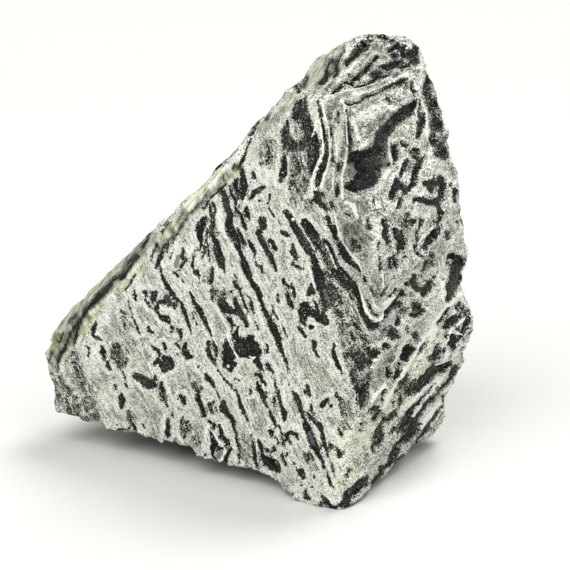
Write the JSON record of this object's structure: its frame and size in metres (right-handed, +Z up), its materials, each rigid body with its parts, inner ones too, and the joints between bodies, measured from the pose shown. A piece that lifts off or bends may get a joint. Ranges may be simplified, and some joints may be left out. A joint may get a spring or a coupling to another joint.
{
  "type": "leopard stone",
  "caption": "Rough, broken block of banded black-and-white stone with a tall peak, stepped ledges and a small flat spot to rest on.",
  "frame": {"origin": "on the surface that the stone rests on, under the middle of its bounding box", "axes": "+Z up, +X to the right and -Y to the front, with the smooth broken face towards the front left"},
  "size_m": [0.1388, 0.1022, 0.1376],
  "materials": {
    "banded_rock": "rough broken rock, banded and spotted in black, grey and cream white"
  },
  "bodies": {
    "root": {"stone": "banded_rock"}
  },
  "joints": []
}
